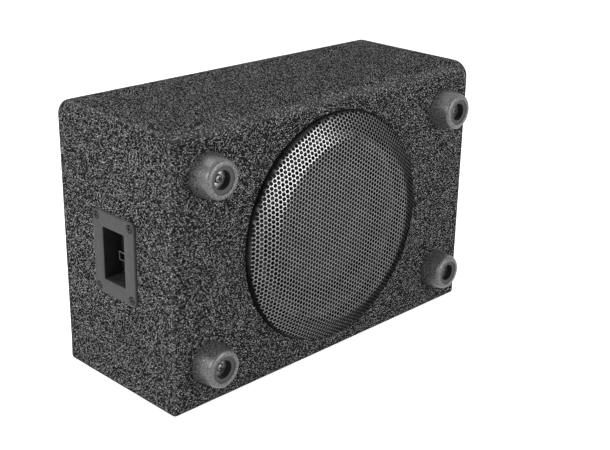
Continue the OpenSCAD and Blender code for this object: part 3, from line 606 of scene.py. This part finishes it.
def grille():
    """A perforated sheet, drawn over a flat middle, a sloping shoulder and a short wall, with a rim."""
    flat, edges, triangles = perforated_sheet()
    total = len(flat)
    solid = Solid()
    solid.points = list(on_sheet(flat, 0)) + list(on_sheet(flat, SHEET_T))
    solid.faces = [tuple(t) for t in triangles] + [tuple(t[::-1] + total) for t in triangles]
    for a, b in edges[RIM_SIDES:]:
        solid.faces.append((a, b, b + total, a + total))
    solid.loft([circle(r, h, RIM_SIDES) for r, h in RIM], caps=False)
    obj = solid.piece("grille_sheet", GRILLE_STEEL, ON_FRONT, 40)
    obj.data.materials.append(GRILLE_SHADED_EDGE)
    obj.data.materials.append(GRILLE_WALL_SHADE)
    for face in obj.data.polygons:
        h = (ON_FRONT.inverted() @ face.center).z / MM
        # Faces of the sheet have three sides, those of the rim and in the holes have four
        # Hole walls, rim and back faces take the near-black painted shade.
        if len(face.vertices) == 4 or face.normal.y > 0.1:
            face.material_index = 1
        # The sheet's short wall takes the darker steel: painted shade.
        elif h < WALL_H:
            face.material_index = 2
    stand_for(obj, "grille")


# Screws

HEAD_H = 0.62
CROSS = (
    # height above the seat, length of an arm and half its width, as shares of the head's radius
    (0.1, 0.22, 0.07),
    (HEAD_H, 0.62, 0.13),
    (0.8, 0.75, 0.16),
)


def cross_screw(solid, head_r, at, seat, shank_r, length):
    """A pan head on a plain shank."""
    head_h = head_r * HEAD_H
    profile = [(0, seat - length), (shank_r * 0.4, seat - length), (shank_r, seat - length + 2 * shank_r)]
    profile += [(shank_r, seat), (head_r, seat)]
    dome = [(head_r * math.cos(a) ** 0.55, seat + head_h * math.sin(a)) for a in np.linspace(0.15, 1.45, 8)]
    return solid.lathe(profile + dome + [(0, seat + head_h)], 40, at)


def cross_recess(solid, head_r, at, seat, turn):
    """The cross in a head, as a four-armed star that narrows downwards."""
    rings = []
    for height, arm, thick in CROSS:
        ring = []
        for k in range(4):
            a = turn + k * math.pi / 2
            out, side = np.array([math.cos(a), math.sin(a)]), np.array([-math.sin(a), math.cos(a)])
            for along, across in ((arm, -thick), (arm, thick), (thick * 1.3, thick * 1.3)):
                p = np.array(at) + head_r * (along * out + across * side)
                ring.append((p[0], p[1], seat + head_r * height))
        rings.append(np.array(ring))
    return solid.loft(rings)


def screws(name, node, material, places, head_r, shank_r, seat, length, place):
    """A group of equal screws, each turned its own way."""
    heads, crosses = Solid(), Solid()
    for k, at in enumerate(places):
        cross_screw(heads, head_r, at, seat, shank_r, length)
        cross_recess(crosses, head_r, at, seat, 0.3 + 0.5 * k)
    obj = heads.piece(name, material, place)
    cut(obj, crosses, place, 30)
    stand_for(obj, node)


# Feet

FOOT_H, FOOT_FLOOR = 24, 14
FOOT_TIP_R, FOOT_STEP_R, FOOT_BORE_R, FOOT_HOLE_R = 19.6, 14, 9.5, 2.6
FOOT_STEP_H = FOOT_H - 1.3
FOOT_WASHER_T = 1.2
FOOT_SCREW_L = FOOT_FLOOR + 13.7


def feet():
    profile = rounded([
        (FOOT_HOLE_R, 0, 0), (22.3, 0, 0.5), (22.5, 1.2, 0.5), (22.1, 4, 0.5),
        (FOOT_TIP_R, FOOT_H, 4.2), (FOOT_STEP_R, FOOT_H, 1.0), (FOOT_STEP_R, FOOT_STEP_H, 0.35),
        (FOOT_BORE_R, FOOT_STEP_H, 0.9), (FOOT_BORE_R, FOOT_FLOOR, 0.4), (FOOT_HOLE_R, FOOT_FLOOR, 0),
    ], 6)
    places = []
    for node in ("foot_upper_left", "foot_upper_right", "foot_lower_left", "foot_lower_right"):
        low, high = box_mm(node)
        at = ((low[0] + high[0]) / 2, (low[2] + high[2]) / 2 - AXIS_Z)
        places.append(at)
        turned = Solid().lathe(profile, 96, at, closed=True)
        foot = turned.piece(node + "_rubber", FOOT_RUBBER, ON_FRONT, 50)
        foot.data.materials.append(FOOT_BORE_SHADE)
        foot.data.materials.append(FOOT_STEP_SHADE)
        for face in foot.data.polygons:
            x, y, h = ON_FRONT.inverted() @ face.center / MM
            r = math.hypot(x - at[0], y - at[1])
            # The bore's walls and floor take the painted shade.
            if h < FOOT_H - 2 and r < FOOT_BORE_R + 0.2:
                face.material_index = 1
            # The recessed step ring and its wall take the darker painted shade.
            elif h < FOOT_H - 0.7 and r < FOOT_STEP_R + 0.1:
                face.material_index = 2
        stand_for(foot, node)
    screws("foot_screw_set", "foot_screws", DARK_STEEL, places, head_r=4.6, shank_r=2.4,
           seat=FOOT_FLOOR + FOOT_WASHER_T, length=FOOT_SCREW_L, place=ON_FRONT)


# Terminal cup and controls

FLANGE_T = 3
RECESS_TOP = 2
CUP_BODY = (30.2, 19.2)
RECESS = (28.2, 17.2)
PANEL_OUT, PANEL_IN = -19.5, -22
CUP_SCREWS = [(x * 37.7, y * 26.7) for x in (-1, 1) for y in (-1, 1)]
SCREW_SEAT = 1.2
SCREW_POCKET = (
    # radius, height above the end of the box
    (0, -2), (2, -2), (2, SCREW_SEAT), (4.4, SCREW_SEAT), (4.4, 2.6), (4.9, 3.1), (4.9, 5), (0, 5),
)
CASE_SCREWS = [(x * 24.8, y * 13.8) for x in (-1, 1) for y in (-1, 1)]
SOCKET_AT, SOCKET_HALF = (-5.4, 0.5), (5, 12)
SOCKET_OUT, SOCKET_IN, SOCKET_FLOOR = PANEL_OUT + 8, PANEL_IN - 6, PANEL_IN - 2
SOCKET_ROUND, SOCKET_CAVITY = 0.4, (3.2, 10.2)
KNOB_TOP, KNOB_LOW, KNOB_R = PANEL_OUT + 5, PANEL_OUT + 0.3, 4
SHAFT_R, SHAFT_END = 2.4, PANEL_IN - 5
FLUTES, FLUTE_DEPTH = 16, 0.35
POINTER_START, POINTER_HALF, POINTER_DEPTH = 0.9, 0.45, 0.5
PANEL_FIT = 0.1
KNOBS = {"level_knob": (20, 6), "crossover_knob": (20, -6)}
SWITCH_AT, SWITCH_HALF, SWITCH_TRAVEL = (5, -11), (2.3, 1.8), 4


def terminal_cup():
    profile = [
        # half height, half width, corner radius, height above the end of the box
        (*CUP_BODY, 1, PANEL_IN), (*CUP_BODY, 1, 0),
        (44, 33, 5, 0), (44, 33, 5, 1.9), (43.8, 32.8, 4.8, 2.5), (43.4, 32.4, 4.4, 2.85),
        (42.8, 31.8, 3.8, FLANGE_T), (28.9, 17.9, 1.9, FLANGE_T),
        (28.4, 17.4, 1.5, 2.85), (28.1, 17.1, 1.2, 2.4), (28, 17, 1, 1.6),
        (27.9, 16.9, 0.9, PANEL_OUT + 0.5), (27.5, 16.5, 0.5, PANEL_OUT),
    ]
    rings = [rectangle(*sizes) for sizes in profile]
    obj = Solid().loft(rings).piece("terminal_cup_shell", CUP_PLASTIC, ON_END)
    low, high = PANEL_IN - 2, PANEL_OUT + 2
    holes = Solid()
    for at in CUP_SCREWS:
        holes.lathe(SCREW_POCKET, 40, at)
    for at in CASE_SCREWS:
        holes.cylinder(1.5, low, high, 24, at)
    for at in KNOBS.values():
        holes.cylinder(SHAFT_R + 0.3, low, high, 32, at)
    x, y = SOCKET_AT
    half_x, half_y = SOCKET_HALF[0] + PANEL_FIT, SOCKET_HALF[1] + PANEL_FIT
    holes.block((x - half_x, y - half_y, low), (x + half_x, y + half_y, high))
    x, y = SWITCH_AT
    half_x, half_y = SWITCH_HALF
    holes.block((x - half_x, y - half_y, low), (x + half_x + SWITCH_TRAVEL, y + half_y, high))
    cut(obj, holes, ON_END)
    obj.data.materials.append(RECESS_SHADE)
    obj.data.materials.append(RECESS_FLOOR_SHADE)
    # Inside the recess the walls and panel are near black as painted shade, and the faces that look up are
    # less dark, as painted light.
    for face in obj.data.polygons:
        x, y, h = ON_END.inverted() @ face.center / MM
        if h < RECESS_TOP and abs(x) < RECESS[0] and abs(y) < RECESS[1]:
            face.material_index = 1 if face.normal.z < 0.7 else 2
    stand_for(obj, "terminal_cup")
    screws("cup_screw_set", "cup_screws", SCREW_BLACK, CUP_SCREWS, head_r=3.9, shank_r=1.9,
           seat=SCREW_SEAT, length=13.7, place=ON_END)
    screws("case_screw_set", "amplifier_case_screws", SCREW_BLACK, CASE_SCREWS,
           head_r=2.6, shank_r=1.4, seat=PANEL_OUT, length=14.5, place=ON_END)


def harness_socket():
    lip = SOCKET_OUT - SOCKET_ROUND
    outer = [(*SOCKET_HALF, 0.8, SOCKET_IN), (*SOCKET_HALF, 0.8, lip), (4.7, 11.7, 0.6, SOCKET_OUT)]
    inner = [(3.4, 10.4, 0.5, SOCKET_OUT), (*SOCKET_CAVITY, 0.4, lip), (*SOCKET_CAVITY, 0.4, SOCKET_FLOOR)]
    rings = [rectangle(a, b, r, h, SOCKET_AT) for a, b, r, h in outer + inner]
    obj = Solid().loft(rings).piece("harness_socket_shell", BLACK_PLASTIC, ON_END)
    obj.data.materials.append(SOCKET_LIP_HIGHLIGHT)
    # The chamfers of the lip take the painted highlight.
    for face in obj.data.polygons:
        if lip - 0.05 < (ON_END.inverted() @ face.center).z / MM < SOCKET_OUT - 0.05:
            face.material_index = 1
    stand_for(obj, "harness_socket")


def knobs():
    for node, at in KNOBS.items():
        profile = rounded([
            (0, SHAFT_END, 0), (SHAFT_R, SHAFT_END, 0), (SHAFT_R, KNOB_LOW, 0), (KNOB_R, KNOB_LOW, 0.3),
            (KNOB_R - 0.1, KNOB_TOP, 0.5), (0, KNOB_TOP, 0),
        ], 4)
        rings = [circle(r, h, 96, at, FLUTES, FLUTE_DEPTH if r > SHAFT_R else 0) for r, h in profile]
        obj = Solid().loft(rings, caps=False).piece(node + "_cap", KNOB_PLASTIC, ON_END)
        slot_low = (at[0] + POINTER_START, at[1] - POINTER_HALF, KNOB_TOP - POINTER_DEPTH)
        slot_high = (at[0] + KNOB_R + 0.6, at[1] + POINTER_HALF, KNOB_TOP + 1)
        cut(obj, Solid().block(slot_low, slot_high, 0.1), ON_END)
        obj.data.materials.append(POINTER_PAINT)
        for face in obj.data.polygons:
            x, y, h = ON_END.inverted() @ face.center / MM
            if x > at[0] + 0.5 and abs(y - at[1]) < 0.5 and KNOB_TOP - 0.6 < h < KNOB_TOP - 0.1:
                face.material_index = 1
        stand_for(obj, node, node)


# Driver

ROLL_AT, ROLL_R, ROLL_DROP, ROLL_SPREAD = 81, 7, 4, 0.057
SURROUND_OUT_R, SURROUND_IN_R, SURROUND_T = 96, 68, 0.8
SURROUND_FLANGE, SURROUND_LIP = 2, 6
SPIDER_IN_R, SPIDER_OUT_R, SPIDER_T = 19.1, 53, 0.7
WAVE_IN_R, WAVE_OUT_R, WAVE_H, WAVE_COUNT = 23.1, 45, 1.4, 5
SPIDER_DEPTH = 40


def bend_by_radius(obj):
    """Bakes the piece's place into its mesh."""
    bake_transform(obj)


def surround():
    flange, lip, t = -FELT_T - SURROUND_FLANGE, -FELT_T - SURROUND_LIP, SURROUND_T
    over, under = [(SURROUND_OUT_R, flange + t)], [(SURROUND_OUT_R, flange)]
    for a in np.linspace(0, math.pi, 25):
        r, h = ROLL_R * math.cos(a), flange - ROLL_DROP * a / math.pi + ROLL_R * math.sin(a)
        over.append((ROLL_AT + r * (1 + ROLL_SPREAD), h + t))
        under.append((ROLL_AT + r * (1 - ROLL_SPREAD), h))
    over.append((SURROUND_IN_R, lip + t))
    under.append((SURROUND_IN_R, lip))
    roll = Solid().lathe(over + under[::-1], 128, closed=True)
    obj = roll.piece("surround_roll", RUBBER, ON_FRONT, 50)
    stand_for(obj, "surround", None)
    bend_by_radius(obj)


def spider():
    shelf = -FELT_T - SPIDER_DEPTH
    line = [(SPIDER_IN_R, shelf)]
    for s in np.linspace(0, 1, 81):
        height = WAVE_H * math.sin(s * 2 * math.pi * WAVE_COUNT)
        line.append((WAVE_IN_R + (WAVE_OUT_R - WAVE_IN_R) * s, shelf + height))
    line.append((SPIDER_OUT_R, shelf))
    cloth = [(r, h + SPIDER_T) for r, h in line] + line[::-1]
    obj = Solid().lathe(cloth, 128, closed=True).piece("spider_web", SPIDER, ON_FRONT, 60)
    stand_for(obj, "spider", None)
    bend_by_radius(obj)


# Soft seals

GASKET_IN_R, GASKET_OUT_R, GASKET_DEPTH, GASKET_T = 93, 104, 4, 1.5
SEAL_PROFILE = (
    # growth beyond the cup's body, height above the end of the box
    (4, -2.2), (3.8, -2.5), (0.4, -2.5), (0.1, -2.2), (0.1, -0.3), (0.4, 0), (3.8, 0), (4, -0.3),
)


def seals():
    high = -FELT_T - GASKET_DEPTH
    low = high - GASKET_T
    corners = [(GASKET_IN_R, low), (GASKET_OUT_R, low), (GASKET_OUT_R, high), (GASKET_IN_R, high)]
    ring = rounded([(r, h, 0.5) for r, h in corners], 4)
    gasket = Solid().lathe(ring, 128, closed=True).piece("driver_gasket_foam", FOAM, ON_FRONT, 60)
    stand_for(gasket, "driver_gasket")
    rings = [rectangle(CUP_BODY[0] + grow, CUP_BODY[1] + grow, 0.6, h) for grow, h in SEAL_PROFILE]
    seal = Solid().loft(rings, closed=True).piece("cup_gasket_foam", FOAM, ON_END, 60)
    stand_for(seal, "cup_gasket")


# Finishes of the nodes that keep their own shape

FINISHES = {
    "front_baffle": STAINED_BOARD, "back_panel": BOARD, "top_panel": BOARD, "bottom_panel": BOARD,
    "left_panel": BOARD, "right_panel": BOARD,
    "grille_ring": BLACK_PLASTIC, "grille_ring_screws": SCREW_BLACK,
    "driver_basket": BASKET, "surround_trim_ring": BLACK_PLASTIC, "cone": CONE, "dust_cap": CONE,
    "voice_coil_former": ALUMINIUM, "voice_coil": COPPER,
    "top_plate": ZINC, "magnet": FERRITE, "pole_yoke": ZINC,
    "driver_terminals": BRASS, "driver_screws": SCREW_BLACK, "foot_washers": ZINC, "socket_contacts": BRASS,
    "level_potentiometer": POT_PLASTIC, "crossover_potentiometer": POT_PLASTIC,
    "phase_switch_slider": SLIDER_PLASTIC, "phase_switch_housing": ZINC, "control_board": BOARD_MASK,
    "amplifier_case": ALUMINIUM, "amplifier_end_cap": ALUMINIUM, "amplifier_board": BOARD_MASK,
    "supply_capacitors": SLEEVE, "output_inductors": COPPER, "power_transistors": CHIP_PLASTIC,
    "speaker_leads": LEAD,
}


def finish_nodes():
    for node, material in FINISHES.items():
        slots = NODES[node].data.materials
        slots.clear()
        slots.append(material)


# Stage, light and camera

EYE = Vector((-0.83095, -0.86202, 0.5866))
LOOK = Vector((0.66511, 0.65318, -0.36192))
RIGHT = Vector((0.70568, -0.70829, 0.01854))
LENS, SENSOR = 67.64, 36
FLOOR_HALF = 6
FLOOR_COLOUR, FLOOR_GLOW = grey(0.86), grey(0.78)
AMBIENT = 0.25
LAMPS = (
    # name, place, aim, size in metres, watts, roll in degrees
    ("front_box", (0.3, -1.42, 0.52), (0, -0.1, 0.16), (1.25, 0.5), 12.5, 30),
    ("left_box", (-1.45, -0.1, 0.85), (-0.2, 0, 0.22), (1.2, 0.8), 13.2, 0),
    ("top_box", (-0.3, 1.2, 1.5), (0, 0, 0.25), (1.2, 1.0), 18, 0),
)


def seen_rays(tree):
    """1 on the rays that show the background: straight from the camera, mirrored or through glass."""
    path = tree.nodes.new("ShaderNodeLightPath")
    first = tree.nodes.new("ShaderNodeMath")
    second = tree.nodes.new("ShaderNodeMath")
    first.operation = second.operation = "MAXIMUM"
    tree.links.new(path.outputs["Is Camera Ray"], first.inputs[0])
    tree.links.new(path.outputs["Is Glossy Ray"], first.inputs[1])
    tree.links.new(first.outputs[0], second.inputs[0])
    tree.links.new(path.outputs["Is Transmission Ray"], second.inputs[1])
    return second.outputs[0]


def floor_material():
    """A pale floor that takes shadows and glows on the rays that show the background."""
    material = bpy.data.materials.new("floor")
    material.use_nodes = True
    tree = material.node_tree
    tree.nodes.clear()
    diffuse = tree.nodes.new("ShaderNodeBsdfDiffuse")
    diffuse.inputs["Color"].default_value = (*FLOOR_COLOUR, 1)
    glow = tree.nodes.new("ShaderNodeEmission")
    tree.links.new(seen_rays(tree), glow.inputs["Strength"])
    glow.inputs["Color"].default_value = (*FLOOR_GLOW, 1)
    both = tree.nodes.new("ShaderNodeAddShader")
    out = tree.nodes.new("ShaderNodeOutputMaterial")
    tree.links.new(diffuse.outputs[0], both.inputs[0])
    tree.links.new(glow.outputs[0], both.inputs[1])
    tree.links.new(both.outputs[0], out.inputs["Surface"])
    return material


def stage():
    data = bpy.data.meshes.new("floor")
    corners = [(x * FLOOR_HALF, y * FLOOR_HALF, 0) for x, y in ((-1, -1), (1, -1), (1, 1), (-1, 1))]
    data.from_pydata(corners, [], [(0, 1, 2, 3)])
    data.materials.append(floor_material())
    floor = bpy.data.objects.new("floor", data)
    scene.collection.objects.link(floor)


def world():
    """A faint even light, behind which the background is white."""
    studio = bpy.data.worlds.new("studio")
    scene.world = studio
    studio.use_nodes = True
    tree = studio.node_tree
    tree.nodes.clear()
    ambient = tree.nodes.new("ShaderNodeBackground")
    ambient.inputs["Strength"].default_value = AMBIENT
    white = tree.nodes.new("ShaderNodeBackground")
    for node in (ambient, white):
        node.inputs["Color"].default_value = (1, 1, 1, 1)
    pick = tree.nodes.new("ShaderNodeMixShader")
    out = tree.nodes.new("ShaderNodeOutputWorld")
    tree.links.new(seen_rays(tree), pick.inputs[0])
    tree.links.new(ambient.outputs[0], pick.inputs[1])
    tree.links.new(white.outputs[0], pick.inputs[2])
    tree.links.new(pick.outputs[0], out.inputs["Surface"])


def lamp(name, at, aim, size, watts, roll):
    data = bpy.data.lights.new(name, "AREA")
    data.shape, data.size, data.size_y, data.energy = "RECTANGLE", size[0], size[1], watts
    obj = bpy.data.objects.new(name, data)
    obj.location = at
    obj.rotation_mode = "QUATERNION"
    turn = Quaternion((0, 0, 1), math.radians(roll))
    obj.rotation_quaternion = (Vector(aim) - Vector(at)).to_track_quat("-Z", "Y") @ turn
    obj.visible_camera = False
    scene.collection.objects.link(obj)


def lights():
    for row in LAMPS:
        lamp(*row)


def camera():
    data = bpy.data.cameras.new("camera")
    data.sensor_width, data.lens = SENSOR, LENS
    obj = bpy.data.objects.new("camera", data)
    back = -LOOK.normalized()
    side = RIGHT.normalized()
    up_way = back.cross(side)
    turn = Matrix((side, up_way, back)).transposed()
    obj.matrix_world = Matrix.Translation(EYE) @ turn.to_4x4()
    scene.collection.objects.link(obj)
    scene.camera = obj


camera()
felt()
grille()
feet()
terminal_cup()
harness_socket()
knobs()
surround()
spider()
seals()
finish_nodes()
stage()
world()
lights()
scene.view_settings.view_transform = "Standard"
